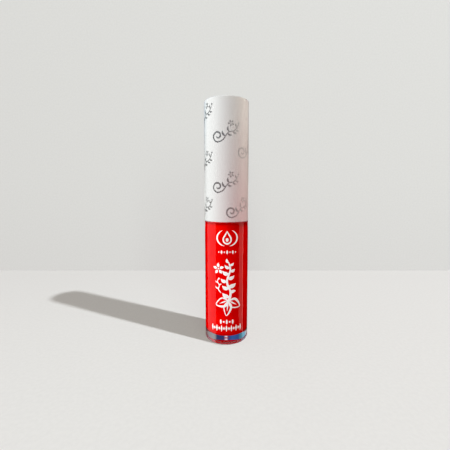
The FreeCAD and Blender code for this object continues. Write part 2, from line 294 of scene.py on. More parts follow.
def cap_material():
    """White pearl with fine flakes under a clear coat."""
    material, tree, shader = new_material(
        "pearl_cap", (0.67, 0.66, 0.655), 0.32, Coat_Weight=0.6, Coat_Roughness=0.06,
        Coat_IOR=1.4, Specular_IOR_Level=0.15)
    flake = cells(tree, 0.11)
    pearl = ramp(tree, flake.outputs["Distance"], [
        (0.0, (0.72, 0.71, 0.705)), (0.35, (0.67, 0.66, 0.655)), (1.0, (0.62, 0.61, 0.605))])
    tree.links.new(pearl, shader.inputs["Base Color"])
    tree.links.new(spread(tree, grain(tree, 0.3), 0.24, 0.40), shader.inputs["Roughness"])
    raise_surface(tree, shader, grain(tree, 1.4, 1), 0.004)
    return material


def foil_material():
    """Brushed silver foil, with an uneven tone."""
    material, tree, shader = new_material("silver_foil", (0.55, 0.555, 0.55), 0.4, Metallic=0.38)
    tone = ramp(tree, grain(tree, 0.5), [(0.3, (0.52, 0.525, 0.52)), (0.7, (0.58, 0.585, 0.58))])
    tree.links.new(tone, shader.inputs["Base Color"])
    tree.links.new(spread(tree, grain(tree, 0.15), 0.35, 0.55), shader.inputs["Roughness"])
    raise_surface(tree, shader, grain(tree, 0.12), 0.004)
    return material


def ink_material():
    """Opaque white ink with a fine tooth."""
    # the faint white emission is a painted glow: it makes the ink brighter than the lamps alone would
    # light it
    material, tree, shader = new_material(
        "white_ink", (0.95, 0.95, 0.95), 0.42, Emission_Color=(1, 1, 1, 1), Emission_Strength=0.15)
    tint = ramp(tree, grain(tree, 0.4), [(0.3, (0.90, 0.90, 0.90)), (0.6, (0.96, 0.96, 0.955))])
    tree.links.new(tint, shader.inputs["Base Color"])
    raise_surface(tree, shader, cells(tree, 0.09).outputs["Distance"], 0.003)
    return material


STAIN = (0.95, 0.02, 0.02, 1)
STAIN_FADE = 1.5        # mm above and below the stain's top
CLOUD_SHADE = 0.94      # of the colour, in the darker clouds
UNEVEN = 0.07           # of the roughness, to either side


def plastic_material(name, colour, roughness, stain_top=None, **values):
    """Moulded plastic with faint flow clouds and an uneven finish; below stain_top it is red."""
    material, tree, shader = new_material(name, colour, roughness, **values)
    darker = tuple(c * CLOUD_SHADE for c in colour)
    tint = ramp(tree, grain(tree, 3, 3), [(0.3, darker), (0.7, colour)])
    if stain_top is not None:
        split = node(tree, "SeparateXYZ")
        tree.links.new(place(tree), split.inputs[0])
        stained = between(tree, split.outputs["Z"], (stain_top + STAIN_FADE) * MM,
                          (stain_top - STAIN_FADE) * MM)
        patch = node(tree, "Math", operation="MULTIPLY")
        tree.links.new(stained, patch.inputs[0])
        tree.links.new(spread(tree, grain(tree, 1.2, 3), 0.5, 1.0), patch.inputs[1])
        tint = tinted(tree, tint, STAIN, patch.outputs[0])
    tree.links.new(tint, shader.inputs["Base Color"])
    rough = spread(tree, grain(tree, 0.6), roughness - UNEVEN, roughness + UNEVEN)
    tree.links.new(rough, shader.inputs["Roughness"])
    raise_surface(tree, shader, grain(tree, 0.5), 0.006)
    return material


def film_material():
    """A wet film of gloss, drawn out along the rod."""
    material, tree, shader = new_material(
        "gloss_film", (0.78, 0.005, 0.005), 0.12, Coat_Weight=0.6, Coat_Roughness=0.05)
    tint = ramp(tree, grain(tree, 1.5, 3, (1, 1, 0.25)), [
        (0.3, (0.62, 0.0, 0.0)), (0.7, (0.88, 0.02, 0.01))])
    tree.links.new(tint, shader.inputs["Base Color"])
    tree.links.new(spread(tree, grain(tree, 0.8), 0.06, 0.22), shader.inputs["Roughness"])
    return material


def foam_material():
    """Pale foam with small pores."""
    material, tree, shader = new_material("washer_foam", (0.86, 0.86, 0.84), 0.75)
    pores = cells(tree, 0.22)
    # the pores are painted darker at their middles, where the bump sinks them: painted shade in the pits
    tint = ramp(tree, pores.outputs["Distance"], [
        (0.0, (0.74, 0.74, 0.72)), (0.5, (0.9, 0.9, 0.88))])
    tree.links.new(tint, shader.inputs["Base Color"])
    raise_surface(tree, shader, pores.outputs["Distance"], 0.05)
    return material


def wet_flock_material():
    """Flock soaked in gloss, in patches of wet and matt."""
    material, tree, shader = new_material(
        "flock_wet", (0.75, 0.01, 0.01), 0.35, Sheen_Weight=0.3, Sheen_Roughness=0.5)
    tint = ramp(tree, grain(tree, 0.35, 3), [
        (0.3, (0.55, 0.0, 0.0)), (0.55, (0.80, 0.01, 0.01)), (0.8, (0.9, 0.12, 0.10))])
    tree.links.new(tint, shader.inputs["Base Color"])
    tree.links.new(spread(tree, grain(tree, 0.25), 0.15, 0.6), shader.inputs["Roughness"])
    raise_surface(tree, shader, grain(tree, 0.12, 3), 0.03)
    return material


# ---------------------------------------------------------------- bottle

EDGE = 0.06             # a narrow strip beside a rounded edge, which keeps the flat next to it flat
HEEL = 0.8              # the round between the wall and the underside
SMALL_ROUND = 0.12
RECESS_RADIUS = 5.6
RECESS_DEPTH = 0.3
GATE_RADIUS = 0.7       # the moulding gate's stub, in the middle of the recess
GATE_HEIGHT = 0.1
WALL_ROW = 4.0          # between rows of points on a straight wall
WALL_END = 2.0          # of a straight wall left without rows
CAVITY_ROWS = (8.0, SEAM - 8.0)
WALL_TOP = SEAM - 0.15
WALL_ROUND = 0.3
LAND_RADIUS = 7.6       # the step that the cap sits round
SHOULDER = WALL_TOP + 1.1
SHOULDER_ROUND = 0.2
NECK_ROUND = 0.25
CAVITY_RADIUS = GLOSS_RADIUS + 0.02
CAVITY_FLOOR = GLOSS_FLOOR - 0.02
CAVITY_CEILING = WALL_TOP - 0.05
FLOOR_ROUND = 2.0
CEILING_ROUND = 1.9
NECK_BORE = 4.0
BORE_ROUND = 0.5
BORE_CHAMFER = 0.08
BEAD = SHOULDER + 0.9
# how far out from the neck and up from the bead's level
BEAD_OUTLINE = ((0, -0.05), (0.5, 0), (0.6, 0.08), (0.6, 0.22), (0.04, 0.8))
THREAD_PITCH = 2.1
THREAD_TURNS = 1.5
THREAD_START = SHOULDER + 4.0
THREAD_END = THREAD_START + THREAD_PITCH * THREAD_TURNS
THREAD_DEPTH = 0.64
THREAD_HALF = 0.62      # from the ridge's middle to its foot
THREAD_FLANK = 0.40
THREAD_FADE = 0.5       # radians over which each end rises
THREAD_MARGIN = 0.7     # of fine rows below and above the thread
GROW = 0.02             # of the gloss into the wall, so that no air shows between them


def neck_thread(angle, level, radius):
    """The neck's radius with the screw thread's ridge, which fades in and out at its ends."""
    if abs(radius - NECK_RADIUS) > HAIR:
        return radius
    from_side = (angle - TURN / 4) % TURN
    whole = THREAD_TURNS * TURN
    ridge = 0.0
    for lap in range(2):
        turned = from_side + lap * TURN
        if turned > whole:
            continue
        off = abs(level - THREAD_START - THREAD_PITCH * turned / TURN)
        ends = smooth(turned / THREAD_FADE) * smooth((whole - turned) / THREAD_FADE)
        ridge = max(ridge, ends * smooth((THREAD_HALF - off) / THREAD_FLANK))
    return radius + THREAD_DEPTH * ridge


def foot_profile():
    """The outline under the bottle: the gate's stub, the recess and the ring it stands on."""
    inside, outside = RECESS_RADIUS - SMALL_ROUND, RECESS_RADIUS + SMALL_ROUND
    gate_foot = GATE_RADIUS + GATE_HEIGHT
    profile = [(0, RECESS_DEPTH - GATE_HEIGHT), (GATE_RADIUS, RECESS_DEPTH - GATE_HEIGHT)]
    profile += [(gate_foot, RECESS_DEPTH), (gate_foot + EDGE, RECESS_DEPTH)]
    profile += [(inside - EDGE, RECESS_DEPTH)]
    profile += corner((inside, RECESS_DEPTH - SMALL_ROUND), SMALL_ROUND, 90, 0, 4)
    profile += corner((outside, SMALL_ROUND), SMALL_ROUND, 180, 270, 4)
    profile += [(outside + EDGE, 0), (BOTTLE_RADIUS - HEEL - EDGE, 0)]
    return profile


def outer_profile():
    """The outline from the heel up the wall, over the shoulder and up the neck."""
    r, neck = BOTTLE_RADIUS, NECK_RADIUS
    profile = corner((r - HEEL, HEEL), HEEL, -90, 0, 16) + [(r, HEEL + EDGE)]
    profile += rows(r, HEEL + WALL_END, WALL_TOP - WALL_END, WALL_ROW)
    profile += corner((r - WALL_ROUND, WALL_TOP - WALL_ROUND), WALL_ROUND, 0, 90, 6)
    profile += corner((LAND_RADIUS + SMALL_ROUND, WALL_TOP + SMALL_ROUND), SMALL_ROUND, 270, 180, 4)
    profile += corner((LAND_RADIUS - SHOULDER_ROUND, SHOULDER - SHOULDER_ROUND), SHOULDER_ROUND, 0, 90, 5)
    profile += corner((neck + NECK_ROUND, SHOULDER + NECK_ROUND), NECK_ROUND, 270, 180, 5)[:-1]
    profile += [(neck + out, BEAD + up) for out, up in BEAD_OUTLINE]
    profile += rows(neck, BEAD + 0.9, THREAD_START - THREAD_MARGIN - 0.1, 0.5)
    profile += rows(neck, THREAD_START - THREAD_MARGIN, THREAD_END + THREAD_MARGIN, 0.07)
    profile += corner((neck - NECK_ROUND, NECK_TOP - NECK_ROUND), NECK_ROUND, 0, 90, 5)
    return profile


def inner_profile():
    """The outline down the neck's bore, round the cavity and along its floor to the axis."""
    bore = NECK_BORE
    high, low = CAVITY_RADIUS - CEILING_ROUND, CAVITY_RADIUS - FLOOR_ROUND
    profile = [(bore + BORE_CHAMFER, NECK_TOP), (bore, NECK_TOP - BORE_CHAMFER)]
    profile += corner((bore + BORE_ROUND, CAVITY_CEILING + BORE_ROUND), BORE_ROUND, 180, 270, 6)
    profile += corner((high, CAVITY_CEILING - CEILING_ROUND), CEILING_ROUND, 90, 0, 16)
    profile += rows(CAVITY_RADIUS, CAVITY_ROWS[1], CAVITY_FLOOR + FLOOR_ROUND + WALL_END, WALL_ROW)
    profile += corner((low, CAVITY_FLOOR + FLOOR_ROUND), FLOOR_ROUND, 0, -90, 20)
    return profile + [(0, CAVITY_FLOOR)]


def bottle_piece():
    """The clear bottle with its threaded neck."""
    profile = foot_profile() + outer_profile() + inner_profile()
    vertices, faces = lathe(profile, bulge=neck_thread)
    piece = make_piece("clear_bottle", vertices, faces, clear_material(), "bottle", sharp=50)
    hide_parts("bottle")


def gloss_piece():
    """The gloss, with a curved surface in the neck and the wand's space down its middle."""
    r, bore = CAVITY_RADIUS + GROW, NECK_BORE + 0.5 * GROW
    floor, ceiling = CAVITY_FLOOR - GROW, CAVITY_CEILING + GROW
    void, void_floor, void_round = ROD_RADIUS + 0.3, TIP_BOTTOM - 0.8, 0.6
    dip = GLOSS_LEVEL - 0.35
    profile = [(0, floor)]
    profile += corner((r - FLOOR_ROUND, floor + FLOOR_ROUND), FLOOR_ROUND, -90, 0, 20)
    profile += rows(r, *CAVITY_ROWS, WALL_ROW)
    profile += corner((r - CEILING_ROUND, ceiling - CEILING_ROUND), CEILING_ROUND, 0, 90, 16)
    profile += [(bore, ceiling), (bore, GLOSS_LEVEL)]
    profile += [(NECK_BORE - 0.3, GLOSS_LEVEL - 0.25), (NECK_BORE - 0.8, dip)]
    profile += [(void + 0.3, dip), (void, GLOSS_LEVEL - 0.2)]
    profile += corner((void - void_round, void_floor + void_round), void_round, 0, -90, 5)
    profile += [(0, void_floor)]
    vertices, faces = lathe(profile)
    piece = make_piece("gloss_fill", vertices, faces, gloss_material(), "bottle")
    piece.visible_diffuse = False
    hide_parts("gloss")


# ---------------------------------------------------------------- printed marks

# Marks are drawn as strokes: lists of (u, v, width) points in mm, u round the tube and v up it.
INK_THICKNESS = 0.018
INK_EDGE = 0.45         # of the thickness, at a stroke's two edges
INK_SINK = 0.012
INK_STEP = 0.14
FOIL_THICKNESS = 0.004
ACROSS = (-1.0, -0.5, 0.0, 0.5, 1.0)                    # places over a stroke's width
BLUNT = 0.12            # a stroke that ends wider than this gets a round end
ROUND_END = (25, 50, 72, 86)                            # degrees round that end
PETALS = 5
LEAF_WIDTHS = ((0, 0.12), (0.15, 0.55), (0.38, 1.0), (0.62, 0.9), (0.85, 0.42), (1.0, 0.06))
OPEN_LEAF = ((0.0, 0.0, 0.6), (0.3, 0.5, 1.25), (0.65, 0.42, 1.1), (1.0, 0.0, 0.45),
             (0.65, -0.42, 0.6), (0.3, -0.5, 0.65), (0.0, 0.0, 0.6))


def through(points, per_span=12):
    """A Catmull-Rom line through points of (u, v, width)."""
    padded = [points[0]] + list(points) + [points[-1]]
    line = []
    for a, b, c, d in zip(padded, padded[1:], padded[2:], padded[3:]):
        for i in range(per_span):
            t = i / per_span
            line.append(tuple(
                0.5 * (2 * q + (r - p) * t + (2 * p - 5 * q + 4 * r - s) * t * t
                       + (3 * q - p - 3 * r + s) * t ** 3)
                for p, q, r, s in zip(a, b, c, d)))
    line.append(tuple(points[-1]))
    return line


def even(line):
    """The same line with evenly spaced points."""
    lengths = [0.0]
    for a, b in zip(line, line[1:]):
        lengths.append(lengths[-1] + math.hypot(b[0] - a[0], b[1] - a[1]))
    count = max(4, round(lengths[-1] / INK_STEP))
    points, k = [], 0
    for i in range(count + 1):
        want = lengths[-1] * i / count
        while k < len(lengths) - 2 and lengths[k + 1] < want:
            k += 1
        t = (want - lengths[k]) / max(1e-9, lengths[k + 1] - lengths[k])
        points.append(tuple(p + (q - p) * min(1.0, t) for p, q in zip(line[k], line[k + 1])))
    return points


def spiral(centre, inner, outer, start, turns, width, thin):
    """Points of a curl that opens from its inner radius to its outer one. Angles in degrees."""
    points = []
    count = max(6, round(abs(turns) * 10))
    for i in range(count + 1):
        t = i / count
        a = math.radians(start + 360 * turns * t)
        r = inner + (outer - inner) * t
        points.append((centre[0] + r * math.cos(a), centre[1] + r * math.sin(a),
                       thin + (width - thin) * math.sin(math.pi * min(1.0, t + 0.1) * 0.8)))
    return points


def beside(root, angle, onward, sideways):
    """The place onward from a root at an angle in degrees, and off to the left of that way."""
    a = math.radians(angle)
    c, s = math.cos(a), math.sin(a)
    return root[0] + c * onward - s * sideways, root[1] + s * onward + c * sideways


def leaf(root, angle, length, width, bend=0.18):
    """A pointed leaf from its root, leaning at an angle in degrees."""
    points = []
    for t, w in LEAF_WIDTHS:
        off = bend * length * math.sin(math.pi * t)
        points.append((*beside(root, angle, length * t, off), w * width))
    return through(points, 5)


def open_leaf(root, angle, length, breadth, width):
    """The outline of a leaf, heavier along one side."""
    return through([(*beside(root, angle, length * t, breadth * off), w * width)
                    for t, off, w in OPEN_LEAF], 8)


def veined_leaf(root, angle, length, breadth, width):
    """An open leaf with a vein along its middle."""
    return [open_leaf(root, angle, length, breadth, width),
            leaf(root, angle, 0.7 * length, 0.7 * width, 0.0)]


def dot(centre, width, height=None):
    """A round or oval dot."""
    height = height or width
    points, spans = [], 8
    for i in range(spans + 1):
        a = math.pi * i / spans
        points.append((centre[0], centre[1] - math.cos(a) * height / 2, max(0.04, width * math.sin(a))))
    return points


def lozenge(centre, width, height):
    """An upright lozenge."""
    return [(centre[0], centre[1] + height * t, w * width)
            for t, w in ((-0.5, 0.06), (-0.25, 0.53), (0.0, 1.0), (0.25, 0.53), (0.5, 0.06))]


def blossom(centre, reach):
    """Petals round a dot."""
    strokes = [dot(centre, reach * 0.26)]
    for k in range(PETALS):
        angle = 90 + 360 * k / PETALS
        root = beside(centre, angle, 0.24 * reach, 0)
        strokes.append(leaf(root, angle, reach * 0.76, reach * 0.46, 0.05))
    return strokes


def moved(strokes, offset, tilt=0.0):
    """Strokes turned by an angle in degrees and moved."""
    return [[(*beside(offset, tilt, u, v), w) for u, v, w in stroke] for stroke in strokes]


def ribbon(stroke, on_surface, vertices, faces):
    """A thin closed raised ribbon along a stroke, wrapped onto the surface."""
    line = even(stroke)
    start, end = line[0], line[-1]
    if start[2] > BLUNT:
        line = rounded_end(line[1], start)[::-1] + line
    if end[2] > BLUNT:
        line = line + rounded_end(line[-2], end)
    rings = []
    for i, (u, v, width) in enumerate(line):
        before, after = line[max(0, i - 1)], line[min(len(line) - 1, i + 1)]
        du, dv = after[0] - before[0], after[1] - before[1]
        length = math.hypot(du, dv) or 1.0
        nu, nv = -dv / length * width / 2, du / length * width / 2
        top = [(c, INK_THICKNESS * (INK_EDGE if abs(c) == 1.0 else 1.0)) for c in ACROSS]
        foot = [(1.0, -INK_SINK), (-1.0, -INK_SINK)]
        ring = [(u + nu * c, v + nv * c, height) for c, height in top + foot]
        rings.append([len(vertices) + k for k in range(len(ring))])
        vertices.extend(on_surface(*point) for point in ring)
    for low, high in zip(rings, rings[1:]):
        for k in range(len(low)):
            j = (k + 1) % len(low)
            faces.append([low[k], low[j], high[j], high[k]])
    faces.append(rings[0][::-1])
    faces.append(rings[-1])


def rounded_end(inside, end):
    """Extra points past a stroke's end that round it off."""
    du, dv = end[0] - inside[0], end[1] - inside[1]
    length = math.hypot(du, dv) or 1.0
    points = []
    for angle in ROUND_END:
        a = math.radians(angle)
        reach = end[2] / 2 * math.sin(a) / length
        points.append((end[0] + du * reach, end[1] + dv * reach, end[2] * math.cos(a)))
    return points


def print_piece(name, marks, body, material):
    """One piece of all the strokes. Each mark is (strokes, its function onto the surface)."""
    vertices, faces = [], []
    for strokes, on_surface in marks:
        for stroke in strokes:
            ribbon(stroke, on_surface, vertices, faces)
    piece = make_piece(name, vertices, faces, material, body, sharp=60)


def on_bottle(u, v, height):
    """A printed point wrapped onto the bottle's wall, its middle at the front."""
    a = u / BOTTLE_RADIUS
    r = BOTTLE_RADIUS + height
    return r * math.sin(a), -r * math.cos(a), v


def on_cap(angle):
    """A surface function for marks whose middle is at an angle in degrees from the front."""
    def surface(u, v, height):
        r = CAP_RADIUS + (CAP_TOP_RADIUS - CAP_RADIUS) * (v - SEAM) / (TOTAL - SEAM)
        r += min(height, FOIL_THICKNESS)
        a = math.radians(angle) + u / CAP_RADIUS
        return r * math.sin(a), -r * math.cos(a), v
    return surface


def cap_sprig():
    """A curled sprig with small leaves and a blossom, drawn about its middle."""
    curl = spiral((-3.7, 0.6), 0.45, 2.2, -170, 1.17, 0.62, 0.28)
    stem = curl + [(-2.6, -1.6, 0.44), (-1.5, -1.1, 0.4), (-0.4, -0.4, 0.36), (1.0, 0.1, 0.38),
                   (2.5, -0.25, 0.34), (4.0, 0.1, 0.32), (5.4, 1.1, 0.25)]
    strokes = [through(stem, 6)]
    strokes += [leaf((-0.9, -0.9), 98, 2.6, 0.75), leaf((0.1, -0.1), -42, 2.0, 0.68, -0.18)]
    strokes += [leaf((1.0, 0.1), 78, 2.1, 0.72), leaf((2.3, -0.2), -48, 1.8, 0.62, -0.18)]
    strokes += [leaf((3.6, -0.05), -40, 1.6, 0.55, -0.18), leaf((4.5, 0.4), 85, 1.6, 0.55)]
    strokes += [dot((5.7, 1.5), 0.7)]
    strokes += blossom((2.9, 2.7), 1.3)
    return strokes


# each mark on the cap: degrees round from the front, and its level
CAP_MARKS = ((-68, 90.6), (-68, 72.8), (-68, 54.9), (1, 83.4), (1, 64.6), (65, 77.7), (35, 55.0),
             (137, 88.0), (137, 69.5), (211, 80.0), (211, 61.5))
CAP_TILT = 24


def foil_marks():
    """The silver sprigs on the cap."""
    sprig = cap_sprig()
    marks = [(moved(sprig, (0, level), CAP_TILT), on_cap(angle)) for angle, level in CAP_MARKS]
    print_piece("foil_marks", marks, "cap", foil_material())


def emblem():
    """A drop between two crescents, drawn about its middle."""
    drop = [(0, 2.6, 0.25), (-0.75, 1.2, 0.5), (-1.5, -0.2, 0.55), (-1.3, -1.6, 0.5), (0, -2.3, 0.6),
            (1.3, -1.6, 0.5), (1.5, -0.2, 0.55), (0.75, 1.2, 0.5), (0, 2.6, 0.25)]
    crescent = ((62, 0.1), (45, 0.35), (20, 0.55), (-5, 0.6), (-30, 0.55), (-55, 0.4), (-75, 0.1))
    left = [(-4.05 * math.cos(math.radians(a)), 3.3 * math.sin(math.radians(a)), w)
            for a, w in crescent]
    right = [(-u, v, w) for u, v, w in left]
    return [through(drop, 8), through(left), through(right), dot((0, -0.75), 1.1, 1.5)]


def climbing_sprig():
    """A sprig that climbs the bottle from a fan of big leaves."""
    stem = [(0.7, 18.4, 0.9), (1.5, 20.6, 0.95), (1.5, 22.8, 0.8), (0.5, 24.9, 0.8), (0.2, 27.0, 0.75),
            (0.9, 29.2, 0.7), (1.5, 31.2, 0.65), (1.2, 33.2, 0.55), (0.8, 34.2, 0.4)]
    strokes = [through(stem)]
    strokes += veined_leaf((0.5, 18.9), 204, 5.2, 3.3, 0.75)
    strokes += veined_leaf((0.9, 18.7), -30, 5.4, 3.4, 0.75)
    strokes += veined_leaf((0.7, 18.4), 263, 5.9, 2.7, 0.65)
    strokes += [leaf((1.3, 20.3), 152, 3.3, 1.7), leaf((1.6, 21.6), 22, 2.4, 1.3)]
    strokes += [leaf((1.1, 23.8), 160, 3.0, 1.5), leaf((0.6, 24.7), 18, 3.3, 1.6, -0.18)]
    strokes += [leaf((0.2, 26.6), 158, 2.6, 1.4), leaf((0.4, 27.8), 22, 2.9, 1.4, -0.18)]
    strokes += [leaf((1.1, 29.6), 156, 3.0, 1.5), leaf((1.4, 30.7), 24, 2.1, 1.2, -0.18)]
    strokes += [leaf((1.4, 32.0), 150, 2.4, 1.2), leaf((1.2, 33.1), 30, 1.9, 1.0, -0.18)]
    strokes += [leaf((0.8, 34.0), 110, 1.9, 1.0)]
    return strokes


def small_spray():
    """A thin twig with four small leaves, beside the climbing sprig."""
    twig = [(-2.3, 22.0, 0.3), (-3.3, 23.3, 0.4), (-2.9, 24.9, 0.35), (-3.7, 26.4, 0.35),
            (-3.1, 28.0, 0.2)]
    strokes = [through(twig), leaf((-3.2, 23.6), 150, 1.6, 0.6), leaf((-3.0, 24.8), 30, 1.3, 0.5)]
    strokes += [leaf((-3.5, 26.0), 150, 1.3, 0.5), leaf((-3.4, 27.0), 40, 1.1, 0.45)]
    return strokes


def row(mark, centre, spacing, each_side, width, height, small_width, small_height):
    """A row of marks that are big and small by turns, its middle one big."""
    return [mark((centre[0] + spacing * k, centre[1]), width if k % 2 == 0 else small_width,
                 height if k % 2 == 0 else small_height) for k in range(-each_side, each_side + 1)]


def bottle_print():
    """The white marks on the bottle's front, from the top down."""
    strokes = moved(emblem(), (0.25, 43.9))
    strokes += row(lozenge, (0.25, 38.3), 1.12, 3, 0.85, 1.6, 0.5, 0.8)
    strokes += climbing_sprig() + blossom((-3.3, 31.6), 2.35) + small_spray()
    strokes += row(dot, (0.1, 9.9), 1.2, 2, 0.75, 1.9, 0.75, 0.75)
    strokes += row(lozenge, (0.0, 7.1), 1.0, 6, 0.85, 2.7, 0.85, 1.3)
    print_piece("bottle_print", [(strokes, on_bottle)], "bottle", ink_material())


# ---------------------------------------------------------------- wand

SLANT_TOE = -0.6        # how far the slanted face is from the axis at the tip's bottom
SLANT_TOP = 12.6        # the level where the slanted face runs out
FACE_ROOM = 0.04        # left for fibres in front of the slanted face
SLEEVE_RADIUS = FLOCK_RADIUS - 0.06
SLEEVE_STEPS = 96
SLEEVE_ROW = 0.14
FINE_TO = TIP_BOTTOM + 0.5
TIP_ROUND = 0.9
LUMP_FINENESS, LUMP_HEIGHT = 1.7, 0.010
GRAIN_FINENESS, GRAIN_HEIGHT = 7, 0.012
FACE_GRAIN = 0.02       # mm, on the slanted face
FIBRES = 2600
FIBRE_SINK = 0.04
FIBRE_WIDTH = 0.022
FIBRE_LEAN = 0.07
FIBRE_REACH = FLOCK_RADIUS + 0.05


def sleeve_levels():
    """Levels of the sleeve's rings, closer together round its bottom."""
    levels = []
    level = TIP_BOTTOM
    while level < TIP_TOP:
        levels.append(level)
        level += SLEEVE_ROW * (0.25 if level < FINE_TO else 1.0)
    return levels + [TIP_TOP]


def sleeve():
    """Vertices, faces and rings of the paddle: round, cut slantwise on one side, and lumpy."""
    slope = (FLOCK_RADIUS - SLANT_TOE) / (SLANT_TOP - TIP_BOTTOM)
    vertices, faces, rings = [], [], []
    for level in sleeve_levels():
        up = level - TIP_BOTTOM
        r = SLEEVE_RADIUS
        if up < TIP_ROUND:
            r += math.sqrt(max(0.0, TIP_ROUND ** 2 - (TIP_ROUND - up) ** 2)) - TIP_ROUND
        limit = SLANT_TOE + slope * up - FACE_ROOM
        ring = []
        for i in range(SLEEVE_STEPS):
            a = TURN * i / SLEEVE_STEPS
            x, y = r * math.cos(a), r * math.sin(a)
            x = min(x, limit) if limit < r else x
            lump = noise.noise(Vector((x, y, level)) * LUMP_FINENESS)
            fine = noise.noise(Vector((x, y, level)) * GRAIN_FINENESS)
            grow = 1 + (LUMP_HEIGHT * lump + GRAIN_HEIGHT * fine)
            on_face = x >= limit - TINY
            ring.append(len(vertices))
            vertices.append((x + FACE_GRAIN * fine if on_face else x * grow, y * grow, level))
        rings.append(ring)
    for low, high in zip(rings, rings[1:]):
        for i in range(SLEEVE_STEPS):
            j = (i + 1) % SLEEVE_STEPS
            faces.append([low[i], low[j], high[j], high[i]])
    faces += [rings[0][::-1], rings[-1]]
    return vertices, faces, rings


def flock_sleeve():
    """The wet flocked tip: a slanted paddle, uneven and set with short fibres."""
    vertices, faces, rings = sleeve()
    draw = random.Random(7)
    # each fibre is a slim spike sunk in the sleeve
    for _ in range(FIBRES):
        k = draw.randrange(1, len(rings) - 2)
        i = draw.randrange(SLEEVE_STEPS)
        here = Vector(vertices[rings[k][i]])
        tangent = Vector(vertices[rings[k][(i + 1) % SLEEVE_STEPS]]) - Vector(vertices[rings[k][i - 1]])
        up = Vector(vertices[rings[k + 1][i]]) - Vector(vertices[rings[k - 1][i]])
        out = tangent.cross(up).normalized()
        root = here + tangent * draw.uniform(-0.4, 0.4) - out * FIBRE_SINK
        lean = Vector((draw.uniform(-1, 1), draw.uniform(-1, 1), draw.uniform(-1.2, 0.4))) * FIBRE_LEAN
        tip = root + out * (FIBRE_SINK + draw.uniform(0.05, 0.11)) + lean
        reach = math.hypot(tip.x, tip.y)
        if reach > FIBRE_REACH:
            tip.x, tip.y = tip.x * FIBRE_REACH / reach, tip.y * FIBRE_REACH / reach
        tip.z = max(tip.z, TIP_BOTTOM)
        side = tangent.normalized() * FIBRE_WIDTH
        rise = up.normalized() * FIBRE_WIDTH
        start = len(vertices)
        feet = (root + side, root - side * 0.5 + rise, root - side * 0.5 - rise)
        vertices += [tuple(point) for point in (*feet, tip)]
        faces += [[start, start + 2, start + 1], [start, start + 1, start + 3],
                  [start + 1, start + 2, start + 3], [start + 2, start, start + 3]]
    piece = make_piece("flocked_tip", vertices, faces, wet_flock_material(), "cap", sharp=60)
    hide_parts("applicator_flock")


FILM_INSIDE = ROD_RADIUS - 0.02
FILM_OUTSIDE = ROD_RADIUS + 0.032
FILM_LUMP = 0.018
FILM_FINENESS = 1.6
FILM_DRAWN_OUT = 0.35


def film_lumps(angle, level, radius):
    """The film's outside made uneven, in lumps drawn out down the rod."""
    if radius <= FILM_INSIDE + TINY:
        return radius
    point = Vector((FILM_FINENESS * math.sin(angle), -FILM_FINENESS * math.cos(angle),
                    level * FILM_DRAWN_OUT))
    return radius + FILM_LUMP * noise.noise(point)


def rod_film():
    """The film of gloss that clings to the rod below the wiper."""
    foot, top = ROD_BOTTOM - 0.01, GLOSS_LEVEL - 0.6
    profile = [(FILM_INSIDE - 0.4, foot), (FILM_OUTSIDE - 0.08, foot)]
    profile += rows(FILM_OUTSIDE, ROD_BOTTOM + 0.1, top - 0.4, 0.6)
    profile += [(FILM_OUTSIDE - 0.02, top - 0.1), (FILM_INSIDE, top)]
    vertices, faces = lathe(profile, steps=96, bulge=film_lumps)
    piece = make_piece("rod_film", vertices, faces, film_material(), "wand")


def dress(name, material):
    """Give a CAD node that is shown its finished material."""
    for slot in NODES[name].material_slots:
        slot.material = material


bottle_piece()
gloss_piece()
bottle_print()
foil_marks()
flock_sleeve()
rod_film()
dress("outer_cap", cap_material())
dress("inner_cap", plastic_material("liner_pp", (0.82, 0.82, 0.81), 0.42))
dress("wiper", plastic_material("wiper_ldpe", (0.80, 0.81, 0.80), 0.38, stain_top=NECK_TOP - 5,
                                Subsurface_Weight=0.15, Subsurface_Scale=0.001))
dress("seal_washer", foam_material())
dress("wand_rod", plastic_material("rod_pp", (0.84, 0.84, 0.83), 0.3))
dress("applicator_core", plastic_material("core_tpe", (0.70, 0.03, 0.03), 0.5))


# ---------------------------------------------------------------- stage, in metres

WALL_BEHIND = 0.102
FAR = 0.7
FLOOR_DROP = 0.00001    # keeps the floor clear of the bottle's foot
FLOOR_COLOUR = (0.77, 0.77, 0.755)
BACKDROP_COLOUR = (0.79, 0.80, 0.825)


def stage_sheet(name, corners, colour, one_sided=False):
    """A flat stage surface, which the tube's own reflections don't show."""
    mesh = bpy.data.meshes.new(name)
    mesh.from_pydata(corners, [], [range(len(corners))])
    sheet = bpy.data.objects.new(name, mesh)
    bpy.context.scene.collection.objects.link(sheet)
    material, tree, shader = new_material(name, colour, 0.85, Specular_IOR_Level=0.1)
    lighter = tuple(min(1.0, c * 1.03) for c in colour)
    tint = ramp(tree, grain(tree, 1.2, 4), [(0.35, colour), (0.65, lighter)])
    tree.links.new(tint, shader.inputs["Base Color"])
    if one_sided:
        backfacing = node(tree, "NewGeometry").outputs["Backfacing"]
        mix = choose(tree, backfacing, shader, node(tree, "BsdfTransparent"))
        tree.links.new(mix.outputs[0], tree.nodes["Material Output"].inputs["Surface"])
    mesh.materials.append(material)
    sheet.visible_glossy = False
    sheet.visible_transmission = False
    sheet.visible_diffuse = False
    sheet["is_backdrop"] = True
    return sheet


def stage():
    """The floor, and a backdrop that can't be seen from behind."""
    ground = -FLOOR_DROP
    floor = stage_sheet("floor", [
        (-FAR, -FAR, ground), (FAR, -FAR, ground), (FAR, WALL_BEHIND, ground),
        (-FAR, WALL_BEHIND, ground)], FLOOR_COLOUR)
    backdrop = stage_sheet("backdrop", [
        (-FAR, WALL_BEHIND, 0), (FAR, WALL_BEHIND, 0), (FAR, WALL_BEHIND, FAR),
        (-FAR, WALL_BEHIND, FAR)], BACKDROP_COLOUR, one_sided=True)
    return [floor, backdrop]


# ---------------------------------------------------------------- lights

